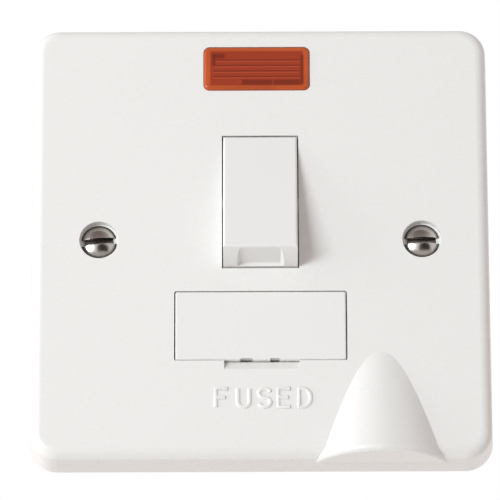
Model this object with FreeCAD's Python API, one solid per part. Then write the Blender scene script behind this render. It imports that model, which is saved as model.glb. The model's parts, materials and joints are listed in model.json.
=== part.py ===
import FreeCAD, Part
import math
import os

V = FreeCAD.Vector

# The unit hangs on a wall. X points right, Y into the wall and Z up.
# The wall plane is Y = 0, and the origin is the middle of the plate on that plane.

# Front plate
PLATE_WIDTH = 86.0
PLATE_HEIGHT = 86.0
PLATE_DEPTH = 8.0
PLATE_SKIN = 2.5
PLATE_WALL = 2.0
PLATE_CORNER = 5.3
PLATE_ROUND = 2.0
PLATE_DRAFT = 0.45
RIB_THICK = 1.2
RIB_DEPTH = 3.0
RIB_OVERLAP = 0.5
RIB_HOOD_GAP = 4.0

# Fixing screws, M3.5, at the standard centres of a single wall box
FIX_SPACING = 60.3
FIX_LENGTH = 25.0
FIX_THREAD_R = 1.75
FIX_NECK_R = 1.5
FIX_HEAD_R = 3.1
FIX_DOME = 0.75
FIX_SLOT_WIDTH = 1.0
FIX_SLOT_DEPTH = 0.9
FIX_SINK = 1.5
FIX_RECESS_R = 3.65
FIX_HOLE_R = 2.1
FIX_BOSS_R = 5.0
BOSS_SETBACK = 0.5
SEAT_CLEARANCE = 0.1
FIX_POINT = 1.0
FIX_POINT_INSET = 0.7
FIX_SLOT_TURN = -5.0

# Rocker switch, shown off: its foot stands out and its top is flush
ROCKER_WIDTH = 13.9
ROCKER_APERTURE_WIDTH = 14.35
ROCKER_APERTURE_HEIGHT = 26.55
ROCKER_Z = 7.55
ROCKER_SWING = 13.0
ROCKER_PIVOT_DEPTH = 2.0
ROCKER_FACE = 4.87
ROCKER_BACK = 3.6
ROCKER_WALL = 1.4
ROCKER_EDGE = 0.45
ROCKER_END_GAP = 0.1
END_RECESS_WIDTH = 7.5
END_RECESS_DEPTH = 0.6
END_RECESS_FROM = -3.0
END_RECESS_TO = 20.0
END_RECESS_BEVEL = 0.35
TRUNNION_R = 1.3
TRUNNION_LENGTH = 1.3
BEARING_CLEARANCE = 0.05
SNAP_SLOT = 2.3
WELL_WALL = 1.5
WELL_SETBACK = 1.0

# Plungers that slide in the rocker and tip the contact blades
POLE_X = 3.8
PLUNGER_REACH = 16.0
PLUNGER_R = 1.15
PLUNGER_LENGTH = 12.0
PLUNGER_SHOWN = 8.0
GUIDE_R = 1.9
PLUNGER_CLEARANCE = 0.08
SPRING_WIRE_R = 0.2
SPRING_TURNS = 6
SPRING_SIDES = 6
SPRING_R = 0.85

# Contact blades, bent to a shallow V and tipped by the plungers
BLADE_WIDTH = 3.6
BLADE_THICK = 0.8
BLADE_HALF = 8.2
BLADE_BEND = 15.0
BLADE_SWING = 11.5
BLADE_GAP = 0.45
BLADE_EAR = 0.75
EAR_CLEARANCE = 0.05
LUG_THICK = 0.7
LUG_GAP = 0.15
LUG_HEIGHT = 2.0
LUG_WIDTH = 2.6
LUG_FOOT = 1.35
BUTTON_R = 1.5
BUTTON_THICK = 0.6
BUTTON_Z = 6.6
CONTACT_GAP = 0.12

# Brass straps that lie on the floor of the housing
STRAP_THICK = 0.8
STRAP_WIDTH = 3.6
LINK_WIDTH = 2.0
LINK_X = 11.35

# Rear housing
HOUSING_FLOOR = 2.0
HOUSING_WALL = 1.5
HOUSING_EAR_WALL = 0.85
HOUSING_EAR_FOOT = 3.0
CHAMBER_CLEARANCE = 0.2
POLE_BARRIER = 1.0
POLE_BARRIER_HEIGHT = 4.0
CHIMNEY_RISE = 2.0
CHIMNEY_WALL = 1.1
CHIMNEY_BORE_R = 3.1
CORE_WALL = 1.2
STRAP_CLEARANCE = 0.15

# Pillar terminals: rows at three heights on each side
TERMINAL_X = 18.4
TERMINAL_ROWS = (25.0, 10.4, -4.2)
TERMINAL_WIDTH = 9.0
TERMINAL_HEIGHT = 7.0
TERMINAL_DEPTH = 8.0
TERMINAL_CORNER = 0.6
TERMINAL_BORE_R = 2.1
TERMINAL_BORE_RISE = 4.8
WIRE_ENTRY_R = 2.7
POCKET_CLEARANCE = 0.1
TERMINAL_SCREW_R = 1.7
TERMINAL_SCREW_LENGTH = 4.5
TERMINAL_SCREW_HEAD_R = 2.7
TERMINAL_SCREW_HEAD = 2.0
TERMINAL_SCREW_CLEARANCE = 0.25
THREAD_CLEARANCE = 0.05
PILOT_SKIN = 0.5
POST_R = 1.5
SCREW_EDGE = 0.35
SCREW_SLOT_WIDTH = 0.8
SCREW_SLOT_DEPTH = 1.0

# Housing screws, driven from the back into bosses of the plate
HOUSING_SCREWS_TOP_X = 6.0
HOUSING_SCREWS_TOP_GAP = 1.25
HOUSING_SCREWS_LOW_Z = -11.2
HOUSING_SCREWS_LOW_GAP = 1.0
HOUSING_SCREW_R = 1.4
HOUSING_SCREW_HEAD_R = 2.25
HOUSING_SCREW_HEAD = 1.9
HOUSING_SCREW_BITE = 3.6
HOUSING_SCREW_SEAT = 3.0
HOUSING_SCREW_GAP = 0.2
HOUSING_BOSS_R = 2.4
HOUSING_BOSS_BACK = -1.0

# Fuse carrier, and a fuse of 1 inch by 1/4 inch
CARRIER_HEIGHT = 13.4
CARRIER_Z = -17.05
CARRIER_GAP_SIDE = 0.2
CARRIER_GAP_END = 0.125
CARRIER_FACE = 2.6
CARRIER_EDGE = 0.3
CARRIER_BELOW_FUSE = 2.7
CARRIER_WING = 1.7
CARRIER_WING_HEIGHT = 10.4
CARRIER_STEM_WIDTH = 10.8
CARRIER_STEM_HEIGHT = 9.0
CARRIER_MOUTH = 2.4
CARRIER_WING_INSET = 0.2
FUSE_END_GAP = 1.25
CARRIER_STEM_WALL = 1.5
CARRIER_GRIP_GAP = 0.03
SMALL_CORNER = 0.35
TAB_GAP_LEFT = (-4.1, -1.5)
TAB_GAP_RIGHT = (1.74, 3.9)
TAB_GAP_HEIGHT = 0.3
TAB_GAP_SLANT = 0.5
NOTCH_WIDTH = 14.0
NOTCH_SHIFT = 0.2
NOTCH_INTO_WELL = 0.5
NOTCH_HEIGHT = 1.7
NOTCH_DEPTH = 1.2
FUSE_LENGTH = 25.4
FUSE_CAP_R = 3.175
FUSE_CAP_LENGTH = 6.0
FUSE_CAP_WALL = 0.3
FUSE_CAP_EDGE = 0.4
FUSE_RISE = 4.0
CLIP_CLEARANCE = 0.15
CLIP_THICK = 0.6
CLIP_WIDTH = 4.5
CLIP_JAW = 2.4
CLIP_LIP = 1.2
CLIP_SPLAY = 0.8
CLIP_FOOT = 3.2

# Neon lens and lamp
LENS_WIDTH = 20.1
LENS_HEIGHT = 8.9
LENS_X = -0.6
LENS_Z = 34.4
LENS_PROUD = 0.3
LENS_ROUND = 0.6
LENS_CORNER = 1.2
LENS_GAP = 0.06
LENS_FLANGE = 0.9
LENS_FLANGE_THICK = 0.8
LENS_WALL_SIDE = 1.2
LENS_WALL_TOP = 0.95
LENS_FRONT_WALL = 1.1
LENS_GROOVES = 4
LENS_GROOVE_PITCH = 1.1
LENS_GROOVE_WIDTH = 0.5
LENS_GROOVE_DEPTH = 0.45
LENS_GROOVE_INSET = 0.85
NEON_POCKET_GAP = 0.15
NEON_POCKET_WALL = 1.0
NEON_POCKET_BACK = -1.0
NEON_TONGUE = 0.8
LAMP_R = 2.2
LAMP_LENGTH = 13.0
LAMP_PIP = 1.6
LAMP_PIP_R = (0.9, 0.35)
LAMP_SHOULDER = 1.0
LAMP_Y = -3.9
LEAD_R = 0.45
RESISTOR_R = 1.2
RESISTOR_LENGTH = 6.5
RESISTOR_EDGE = 0.4
RESISTOR_X = -18.0
RESISTOR_Z = 32.2
LEAD_Y = -3.9
LEAD_PITCH = 1.8
LEAD_BEND = 1.4
LEAD_JOG = 4.0
LEAD_JOG_BEND = 1.2
LEAD_SLOT = 1.5
LEAD_WINDOW = 6.0
LEAD_WINDOW_DEPTH = 1.5
LEAD_WINDOW_REACH = 2.0

# Flex outlet hood: a cone on an upright axis that breaks through the face
HOOD_FROM_EDGE = 20.8
HOOD_TIP_Z = -22.2
HOOD_AXIS_Y = 1.3
HOOD_TAPER = 0.25
HOOD_WALL = 2.0
HOOD_ROUND = 0.9
KNOCKOUT_R = 5.0
KNOCKOUT_Y = -4.2
KNOCKOUT_WEB = 0.8

# Cord clamp behind the hood
CLAMP_Z = -30.9
CLAMP_HEIGHT = 5.2
CLAMP_SPACING = 17.0
CLAMP_BOSS_R = 2.9
CLAMP_SEAT = 0.6
CLAMP_THICK = 2.4
CLAMP_EAR_R = 3.2
CLAMP_ARCH_R = 5.4
CLAMP_ARCH_DROP = 3.0
CLAMP_ARCH_WALL = 1.8
CLAMP_RIDGE = 0.7
CLAMP_RIDGE_WIDTH = 0.8
CLAMP_RIDGE_SPREAD = 1.3
CLAMP_RIDGE_HALF = 3.0
CLAMP_HOLE_CLEARANCE = 0.25
CLAMP_SCREW_R = 1.7
CLAMP_SCREW_HEAD_R = 3.0
CLAMP_SCREW_HEAD = 2.1
CLAMP_SCREW_BITE = 4.6

# A cut runs this far past the face that it opens
PAST = 1.0

# Two places closer together than this count as one
NEAR = 1e-4

# Places worked out from the sizes above
FACE = -PLATE_DEPTH
SKIN_BACK = FACE + PLATE_SKIN
PIVOT_Y = FACE + ROCKER_PIVOT_DEPTH
ROCKER_R = ROCKER_APERTURE_HEIGHT / 2 - ROCKER_END_GAP
WELL_BACK = -WELL_SETBACK
BLADE_FRONT = PIVOT_Y + PLUNGER_REACH + BLADE_GAP
BLADE_Y = BLADE_FRONT + BLADE_THICK / 2
STRAP_LEVEL = BLADE_Y + LUG_FOOT
FLOOR = STRAP_LEVEL + STRAP_THICK
HOUSING_BACK = FLOOR + HOUSING_FLOOR
CHIMNEY_BACK = HOUSING_BACK + CHIMNEY_RISE
HOUSING_HALF_WIDTH = TERMINAL_X + TERMINAL_WIDTH / 2 + POCKET_CLEARANCE + HOUSING_WALL
FUSE_Y = STRAP_LEVEL - FUSE_RISE
CARRIER_BACK = FUSE_Y + CARRIER_BELOW_FUSE
CARRIER_WIDTH = FUSE_LENGTH + 2 * (FUSE_END_GAP + CARRIER_WING + CARRIER_WING_INSET)
FIX_X = FIX_SPACING / 2
HOOD_X = PLATE_WIDTH / 2 - HOOD_FROM_EDGE
BACK = V(0, 1, 0)


def box(x0, x1, y0, y1, z0, z1):
    return Part.makeBox(x1 - x0, y1 - y0, z1 - z0, V(x0, y0, z0))


def block(x, z, width, height, y0, y1):
    """A box about a centre in the plane of the plate, from depth y0 to y1."""
    return box(x - width / 2, x + width / 2, y0, y1, z - height / 2, z + height / 2)


def rod(x, z, radius, y0, y1):
    return Part.makeCylinder(radius, y1 - y0, V(x, y0, z), BACK)


def cone(x, z, r0, r1, y0, y1):
    return Part.makeCone(r0, r1, y1 - y0, V(x, y0, z), BACK)


def rod_x(y, z, radius, x0, x1):
    return Part.makeCylinder(radius, x1 - x0, V(x0, y, z), V(1, 0, 0))


def upright_rod(x, y, radius, z0, z1):
    return Part.makeCylinder(radius, z1 - z0, V(x, y, z0))


def straight_edges(shape, direction):
    """The straight edges of a shape that run along a direction."""
    found = []
    for edge in shape.Edges:
        if edge.Curve.TypeId != "Part::GeomLine":
            continue
        if abs(edge.tangentAt(edge.FirstParameter).dot(direction)) > 0.999:
            found.append(edge)
    return found


def round_block(x, z, width, height, y0, y1, radius):
    """A block with its four edges along Y rounded."""
    plain = block(x, z, width, height, y0, y1)
    return plain.makeFillet(radius, straight_edges(plain, BACK))


def outline_at(shape, depth):
    """The outline of the flat face that a shape has at one depth."""
    for face in shape.Faces:
        bounds = face.BoundBox
        if abs(bounds.YMin - depth) < NEAR and abs(bounds.YMax - depth) < NEAR:
            return face.OuterWire


def edges_at(shape, depth):
    """The edges of a shape that lie wholly at one depth."""
    found = []
    for edge in shape.Edges:
        bounds = edge.BoundBox
        if abs(bounds.YMin - depth) < NEAR and abs(bounds.YMax - depth) < NEAR:
            found.append(edge)
    return found


def prism_x(points, x0, x1):
    """A straight prism along X over an outline of (y, z) points."""
    corners = [V(x0, y, z) for y, z in points]
    outline = Part.makePolygon(corners + corners[:1])
    return Part.Face(outline).extrude(V(x1 - x0, 0, 0))


def turned(shape, y, z, degrees):
    """A copy of a shape turned about an axis along X."""
    copy = shape.copy()
    copy.rotate(V(0, y, z), V(1, 0, 0), degrees)
    return copy


def joined(shapes):
    first, *others = shapes
    return first.fuse(others).removeSplitter() if others else first


def group(shapes):
    return Part.makeCompound(shapes)


def hood_radius(z):
    """Radius of the hood's cone at a height: it meets the face at the tip."""
    return HOOD_AXIS_Y - FACE + HOOD_TAPER * (HOOD_TIP_Z - z)


def hood_cone(z0, z1, inset):
    """The hood's cone between two heights, z0 below z1, drawn in by a wall."""
    low, high = hood_radius(z0) - inset, hood_radius(z1) - inset
    return Part.makeCone(low, high, z1 - z0, V(HOOD_X, HOOD_AXIS_Y, z0), V(0, 0, 1))


def hood_shell():
    """The outer form of the hood, in front of the back of the skin."""
    foot = -PLATE_HEIGHT / 2
    solid = hood_cone(foot, HOOD_TIP_Z, 0.0)
    reach = hood_radius(foot)
    front = box(HOOD_X - reach, HOOD_X + reach, HOOD_AXIS_Y - reach, SKIN_BACK, foot, HOOD_TIP_Z)
    solid = solid.common(front)
    lip = []
    for edge in solid.Edges:
        bounds = edge.BoundBox
        if abs(bounds.ZMax - foot) < NEAR and bounds.YLength > 1.0:
            lip.append(edge)
    return solid.makeFillet(HOOD_ROUND, lip)


def hood_hollow():
    """The space inside the hood for the flex, open to the back."""
    foot = -PLATE_HEIGHT / 2
    inside = hood_cone(foot + PLATE_WALL, HOOD_TIP_Z, HOOD_WALL)
    reach = hood_radius(foot)
    front = box(HOOD_X - reach, HOOD_X + reach, HOOD_AXIS_Y - reach, SKIN_BACK, foot, 0)
    return inside.common(front)


def knockout():
    """The thinned web at the hood's foot that is broken out for a flex."""
    foot = -PLATE_HEIGHT / 2
    height = PLATE_WALL - KNOCKOUT_WEB
    arch = Part.makeCylinder(KNOCKOUT_R, height, V(HOOD_X, KNOCKOUT_Y, foot + KNOCKOUT_WEB))
    side = box(
        HOOD_X - KNOCKOUT_R, HOOD_X + KNOCKOUT_R, KNOCKOUT_Y, 0.0,
        foot + KNOCKOUT_WEB, foot + PLATE_WALL,
    )
    return arch.fuse(side)


def fixing_seat(x):
    """The recess, countersink and hole for one fixing screw."""
    rim = FACE + FIX_SINK
    sink = FIX_HEAD_R + SEAT_CLEARANCE - FIX_HOLE_R
    recess = rod(x, 0, FIX_RECESS_R, FACE - PAST, rim)
    seat = cone(x, 0, FIX_HOLE_R + sink, FIX_HOLE_R, rim, rim + sink)
    hole = rod(x, 0, FIX_HOLE_R, FACE, PAST)
    return recess.fuse([seat, hole])


def carrier_width():
    return CARRIER_WIDTH + 2 * CARRIER_GAP_SIDE


def carrier_height():
    return CARRIER_HEIGHT + 2 * CARRIER_GAP_END


def switch_well(grow, y0, y1):
    width = ROCKER_APERTURE_WIDTH + 2 * grow
    height = ROCKER_APERTURE_HEIGHT + 2 * grow
    return block(0, ROCKER_Z, width, height, y0, y1)


def fuse_well(grow, y0, y1):
    return block(0, CARRIER_Z, carrier_width() + 2 * grow, carrier_height() + 2 * grow, y0, y1)


def bearing_slot(side):
    """A trunnion's bearing in a cheek of the well, with its snap-in slot."""
    inner = ROCKER_APERTURE_WIDTH / 2
    x0, x1 = sorted((side * (inner - PAST), side * (inner + WELL_WALL + PAST)))
    hole = rod_x(PIVOT_Y, ROCKER_Z, TRUNNION_R + BEARING_CLEARANCE, x0, x1)
    half = SNAP_SLOT / 2
    slot = box(x0, x1, PIVOT_Y, WELL_BACK + PAST, ROCKER_Z - half, ROCKER_Z + half)
    return hole.fuse(slot)


def pull_notch():
    """The scoop under the fuse carrier where a finger nail gets behind it."""
    top = CARRIER_Z - carrier_height() / 2
    section = [
        (FACE - PAST, top + NOTCH_INTO_WELL),
        (FACE + NOTCH_DEPTH, top + NOTCH_INTO_WELL),
        (FACE + NOTCH_DEPTH, top),
        (FACE, top - NOTCH_HEIGHT),
        (FACE - PAST, top - NOTCH_HEIGHT),
    ]
    return prism_x(section, NOTCH_SHIFT - NOTCH_WIDTH / 2, NOTCH_SHIFT + NOTCH_WIDTH / 2)


def low_screw_x():
    return carrier_width() / 2 + WELL_WALL + HOUSING_BOSS_R + HOUSING_SCREWS_LOW_GAP


def housing_screw_places():
    well_top = ROCKER_Z + ROCKER_APERTURE_HEIGHT / 2 + WELL_WALL
    top_x, top_z = HOUSING_SCREWS_TOP_X, well_top + HOUSING_BOSS_R + HOUSING_SCREWS_TOP_GAP
    low_x, low_z = low_screw_x(), HOUSING_SCREWS_LOW_Z
    return [(-top_x, top_z), (top_x, top_z), (-low_x, low_z), (low_x, low_z)]


def terminal_places():
    return [(side * TERMINAL_X, z) for side in (-1, 1) for z in TERMINAL_ROWS]


def clamp_places():
    return [(HOOD_X - CLAMP_SPACING / 2, CLAMP_Z), (HOOD_X + CLAMP_SPACING / 2, CLAMP_Z)]


def neon_pocket(grow, y0, y1):
    width = LENS_WIDTH + 2 * (LENS_FLANGE + NEON_POCKET_GAP + grow)
    height = LENS_HEIGHT + 2 * (LENS_FLANGE + NEON_POCKET_GAP + grow)
    return block(LENS_X, LENS_Z, width, height, y0, y1)


def plate_ribs():
    """Ribs from the side walls to the fixing bosses, and short ones above and below."""
    inner = PLATE_WIDTH / 2 - PLATE_WALL
    tall = PLATE_HEIGHT / 2 - PLATE_WALL
    back = SKIN_BACK + RIB_DEPTH
    ribs = []
    for side in (-1, 1):
        x0, x1 = sorted((side * (FIX_X + FIX_BOSS_R - RIB_OVERLAP), side * (inner + RIB_OVERLAP)))
        ribs.append(box(x0, x1, SKIN_BACK, back, -RIB_THICK / 2, RIB_THICK / 2))
        near, far = FIX_BOSS_R - RIB_OVERLAP, tall + RIB_OVERLAP
        for z0, z1 in ((near, far), (-far, -near)):
            x = side * FIX_X
            if side > 0 > z0:
                z0 = HOOD_TIP_Z + RIB_HOOD_GAP
            ribs.append(box(x - RIB_THICK / 2, x + RIB_THICK / 2, SKIN_BACK, back, z0, z1))
    return ribs


def plate_body():
    """The plate's outer form, its sides leaning in from the wall to the face."""
    back = round_block(0, 0, PLATE_WIDTH, PLATE_HEIGHT, FACE, 0, PLATE_CORNER)
    width, height = PLATE_WIDTH - 2 * PLATE_DRAFT, PLATE_HEIGHT - 2 * PLATE_DRAFT
    front = round_block(0, 0, width, height, FACE, 0, PLATE_CORNER - PLATE_DRAFT)
    return Part.makeLoft([outline_at(front, FACE), outline_at(back, 0)], True, True)


def front_plate():
    outer = plate_body()
    outer = outer.makeFillet(PLATE_ROUND, edges_at(outer, FACE))
    hollow = round_block(
        0, 0, PLATE_WIDTH - 2 * PLATE_WALL, PLATE_HEIGHT - 2 * PLATE_WALL,
        SKIN_BACK, PAST, PLATE_CORNER - PLATE_WALL,
    )
    plate = outer.cut(hollow)
    plate = plate.fuse(hood_shell())
    plate = plate.cut([hood_hollow(), knockout()])
    added = [
        switch_well(WELL_WALL, SKIN_BACK - PAST, WELL_BACK),
        fuse_well(WELL_WALL, SKIN_BACK - PAST, WELL_BACK),
        neon_pocket(NEON_POCKET_WALL, SKIN_BACK - PAST, NEON_POCKET_BACK),
    ]
    for side in (-1, 1):
        added.append(rod(side * FIX_X, 0, FIX_BOSS_R, SKIN_BACK - PAST, -BOSS_SETBACK))
    for x, z in housing_screw_places():
        added.append(rod(x, z, HOUSING_BOSS_R, SKIN_BACK - PAST, HOUSING_BOSS_BACK))
    for x, z in clamp_places():
        added.append(rod(x, z, CLAMP_BOSS_R, SKIN_BACK - PAST, CLAMP_SEAT))
    for x, z in terminal_places():
        added.append(rod(x, z, POST_R, SKIN_BACK - PAST, STRAP_LEVEL - TERMINAL_DEPTH))
    plate = plate.fuse(added + plate_ribs())
    cuts = [
        switch_well(0, FACE - PAST, WELL_BACK + PAST),
        round_block(0, CARRIER_Z, carrier_width(), carrier_height(), FACE - PAST, SKIN_BACK, SMALL_CORNER),
        fuse_well(0, SKIN_BACK - PAST, WELL_BACK + PAST),
        round_block(LENS_X, LENS_Z, LENS_WIDTH, LENS_HEIGHT, FACE - PAST, SKIN_BACK, LENS_CORNER),
        neon_pocket(0, SKIN_BACK, NEON_POCKET_BACK + PAST),
        pull_notch(),
    ]
    for side in (-1, 1):
        cuts.append(fixing_seat(side * FIX_X))
        cuts.append(bearing_slot(side))
    pilot_end = SKIN_BACK + PILOT_SKIN
    for x, z in housing_screw_places():
        pilot = HOUSING_SCREW_R + THREAD_CLEARANCE
        cuts.append(rod(x, z, pilot, pilot_end, HOUSING_BOSS_BACK + PAST))
    for x, z in clamp_places():
        cuts.append(rod(x, z, CLAMP_SCREW_R + THREAD_CLEARANCE, pilot_end, CLAMP_SEAT + PAST))
    left = LENS_X - LENS_WIDTH / 2 - LENS_FLANGE - LEAD_WINDOW_REACH
    window_front = LAMP_Y - LEAD_WINDOW_DEPTH / 2
    cuts.append(
        block(left, LENS_Z, 2 * LEAD_WINDOW_REACH, LEAD_WINDOW, window_front, NEON_POCKET_BACK + PAST)
    )
    return plate.cut(cuts).removeSplitter()


def guide_back():
    """Depth at which the rocker's two guide tubes end."""
    return PIVOT_Y + PLUNGER_REACH - PLUNGER_SHOWN


def end_point(end, degrees, radius):
    """A point by one end of the rocker, at an angle towards the front about the pivot."""
    angle = math.radians(degrees)
    return V(0, PIVOT_Y - radius * math.sin(angle), ROCKER_Z + end * radius * math.cos(angle))


def end_recess(end):
    """The finger recess in one end face of the rocker: its flat floor runs out at the front."""
    deep = end_point(end, END_RECESS_FROM, ROCKER_R - END_RECESS_DEPTH)
    run = end_point(end, END_RECESS_TO, ROCKER_R) - deep
    across = V(1, 0, 0)
    out = V(0, run.z, -run.y).normalize() * end
    half, spread = END_RECESS_WIDTH / 2, END_RECESS_DEPTH + PAST
    corners = [
        deep - across * half,
        deep + across * half,
        deep + across * (half + spread) + out * spread,
        deep - across * (half + spread) + out * spread,
    ]
    tool = Part.Face(Part.makePolygon(corners + corners[:1])).extrude(run)
    foot = []
    for edge in straight_edges(tool, across):
        vertex = edge.Vertexes[0]
        if math.hypot(vertex.Y - deep.y, vertex.Z - deep.z) < NEAR:
            foot.append(edge)
    return tool.makeChamfer(END_RECESS_BEVEL, foot)


def rocker():
    """Drawn level about its pivot, then tipped to the off position."""
    half = ROCKER_WIDTH / 2
    z = ROCKER_Z
    front, back = PIVOT_Y - ROCKER_FACE, PIVOT_Y + ROCKER_BACK
    drum = rod_x(PIVOT_Y, z, ROCKER_R, -half, half)
    body = drum.common(box(-half, half, front, back, z - ROCKER_R, z + ROCKER_R))
    body = body.makeFillet(ROCKER_EDGE, edges_at(body, front))
    inner = half - ROCKER_WALL
    room = rod_x(PIVOT_Y, z, ROCKER_R - ROCKER_WALL - END_RECESS_DEPTH, -inner, inner)
    room = room.common(box(-inner, inner, front + ROCKER_WALL, back + PAST, z - ROCKER_R, z + ROCKER_R))
    body = body.cut(room)
    body = body.cut([end_recess(end) for end in (-1, 1)])
    added = []
    for side in (-1, 1):
        x0, x1 = sorted((side * (half - ROCKER_WALL), side * (half + TRUNNION_LENGTH)))
        added.append(rod_x(PIVOT_Y, z, TRUNNION_R, x0, x1))
        added.append(rod(side * POLE_X, z, GUIDE_R, front + ROCKER_WALL / 2, guide_back()))
    body = body.fuse(added)
    for side in (-1, 1):
        bore = PLUNGER_R + PLUNGER_CLEARANCE
        body = body.cut(rod(side * POLE_X, z, bore, front + ROCKER_WALL, guide_back() + PAST))
    return turned(body.removeSplitter(), PIVOT_Y, z, -ROCKER_SWING)


def plunger_seat():
    """Depth of the plunger's inner end, where its spring pushes."""
    return PIVOT_Y + PLUNGER_REACH - PLUNGER_LENGTH


def plunger(side):
    tip = PIVOT_Y + PLUNGER_REACH
    x = side * POLE_X
    shank = rod(x, ROCKER_Z, PLUNGER_R, plunger_seat(), tip - PLUNGER_R)
    nose = Part.makeSphere(PLUNGER_R, V(x, tip - PLUNGER_R, ROCKER_Z))
    return turned(joined([shank, nose]), PIVOT_Y, ROCKER_Z, -ROCKER_SWING)


def plunger_spring(side):
    start = PIVOT_Y - ROCKER_FACE + ROCKER_WALL + SPRING_WIRE_R
    length = plunger_seat() - SPRING_WIRE_R - start
    coil = Part.makeHelix(length / SPRING_TURNS, length, SPRING_R)
    corners = []
    for i in range(SPRING_SIDES):
        a = 2 * math.pi * i / SPRING_SIDES
        corners.append(V(SPRING_R + SPRING_WIRE_R * math.cos(a), 0, SPRING_WIRE_R * math.sin(a)))
    section = Part.makePolygon(corners + corners[:1])
    wire = Part.Wire(coil).makePipeShell([section], True, True)
    wire.rotate(V(0, 0, 0), V(1, 0, 0), -90)
    wire.translate(V(side * POLE_X, start, ROCKER_Z))
    return turned(wire, PIVOT_Y, ROCKER_Z, -ROCKER_SWING)


def blade(side):
    """A V strip with its bend at the pivot and its ends nearer the front."""
    x = side * POLE_X
    slope = math.tan(math.radians(BLADE_BEND))
    section = []
    for end in (-1, 0, 1):
        section.append((BLADE_FRONT - abs(end) * BLADE_HALF * slope, ROCKER_Z + end * BLADE_HALF))
    for end in (1, 0, -1):
        y = BLADE_FRONT + BLADE_THICK - abs(end) * BLADE_HALF * slope
        section.append((y, ROCKER_Z + end * BLADE_HALF))
    half = BLADE_WIDTH / 2
    strip = prism_x(section, x - half, x + half)
    ears = rod_x(BLADE_Y, ROCKER_Z, BLADE_THICK / 2, x - half - BLADE_EAR, x + half + BLADE_EAR)
    return turned(joined([strip, ears]), BLADE_Y, ROCKER_Z, BLADE_SWING)


def blade_button(side):
    """The silver contact riveted to the back of the blade's upper end."""
    slope = math.radians(BLADE_BEND)
    y = BLADE_FRONT + BLADE_THICK - BUTTON_Z * math.tan(slope)
    button = rod(side * POLE_X, ROCKER_Z + BUTTON_Z, BUTTON_R, 0, BUTTON_THICK)
    button = turned(button, 0, ROCKER_Z + BUTTON_Z, BLADE_BEND)
    button.translate(V(0, y, 0))
    return turned(button, BLADE_Y, ROCKER_Z, BLADE_SWING)


def button_meeting():
    """Depth and height of the blade's contact face when the switch is on."""
    slope = math.radians(BLADE_BEND)
    y = BLADE_FRONT + BLADE_THICK - BUTTON_Z * math.tan(slope) + BUTTON_THICK * math.cos(slope)
    z = BUTTON_Z + BUTTON_THICK * math.sin(slope)
    a = math.radians(-BLADE_SWING)
    dy, dz = y - BLADE_Y, z
    return BLADE_Y + dy * math.cos(a) - dz * math.sin(a), ROCKER_Z + dy * math.sin(a) + dz * math.cos(a)


def fixed_button(side):
    """The fixed silver contact, facing the blade's own when the switch is on."""
    y, z = button_meeting()
    lean = BLADE_BEND - BLADE_SWING
    x = side * POLE_X
    front = y + CONTACT_GAP
    reach = BUTTON_R * math.sin(math.radians(lean))
    button = rod(x, z, BUTTON_R, front + reach, STRAP_LEVEL)
    return button


def strap(x0, x1, z0, z1):
    return box(min(x0, x1), max(x0, x1), STRAP_LEVEL, FLOOR, min(z0, z1), max(z0, z1))


def screw_hole(x, z):
    return rod(x, z, TERMINAL_SCREW_R + THREAD_CLEARANCE, STRAP_LEVEL - TERMINAL_DEPTH / 2, FLOOR + PAST)


def pillar(x, z):
    """A brass terminal block with its wire bore along X and its screw bore from the back."""
    top = STRAP_LEVEL - TERMINAL_DEPTH
    body = round_block(x, z, TERMINAL_WIDTH, TERMINAL_HEIGHT, top, STRAP_LEVEL, TERMINAL_CORNER)
    bore = rod_x(STRAP_LEVEL - TERMINAL_BORE_RISE, z, TERMINAL_BORE_R, x - TERMINAL_WIDTH, x + TERMINAL_WIDTH)
    return body.cut(bore)


def lugs(side):
    """Two upright lugs on a strap, notched from the front for the blade's ears."""
    x = side * POLE_X
    inner = BLADE_WIDTH / 2 + LUG_GAP
    notch = BLADE_THICK / 2 + EAR_CLEARANCE
    top = BLADE_Y - LUG_HEIGHT
    pair = []
    for end in (-1, 1):
        x0, x1 = sorted((x + end * inner, x + end * (inner + LUG_THICK)))
        lug = box(x0, x1, top, STRAP_LEVEL, ROCKER_Z - LUG_WIDTH / 2, ROCKER_Z + LUG_WIDTH / 2)
        way = box(x0, x1, top, BLADE_Y, ROCKER_Z - notch, ROCKER_Z + notch)
        pair.append(lug.cut([way, rod_x(BLADE_Y, ROCKER_Z, notch, x0, x1)]))
    return pair


def cradle_edge():
    """How far a cradle's strap reaches past the middle of its pole, to carry both lugs."""
    return BLADE_WIDTH / 2 + LUG_GAP + LUG_THICK


def supply_terminal(side):
    """Block and strap to the fixed contact of one pole."""
    x, z = side * TERMINAL_X, TERMINAL_ROWS[0]
    contact_z = button_meeting()[1]
    outer = side * (TERMINAL_X + TERMINAL_WIDTH / 2)
    inner = side * (LINK_X - LINK_WIDTH / 2)
    outer_strap = strap(inner, outer, z - STRAP_WIDTH / 2, z + STRAP_WIDTH / 2)
    riser = strap(
        side * (LINK_X - LINK_WIDTH / 2), side * (LINK_X + LINK_WIDTH / 2),
        contact_z - STRAP_WIDTH / 2, z + STRAP_WIDTH / 2,
    )
    foot = strap(
        side * (POLE_X - BLADE_WIDTH / 2), side * (LINK_X + LINK_WIDTH / 2),
        contact_z - STRAP_WIDTH / 2, contact_z + STRAP_WIDTH / 2,
    )
    return joined([pillar(x, z), outer_strap, riser, foot]).cut(screw_hole(x, z))


def load_neutral_terminal():
    """Block and strap to the neutral blade's cradle."""
    x, z = -TERMINAL_X, TERMINAL_ROWS[1]
    low, high = ROCKER_Z - STRAP_WIDTH / 2, ROCKER_Z + STRAP_WIDTH / 2
    base = strap(-POLE_X + cradle_edge(), x - TERMINAL_WIDTH / 2, low, high)
    pad = strap(-(LINK_X + LINK_WIDTH / 2), x - TERMINAL_WIDTH / 2, low, z + STRAP_WIDTH / 2)
    return joined([pillar(x, z), base, pad] + lugs(-1)).cut(screw_hole(x, z))


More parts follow.
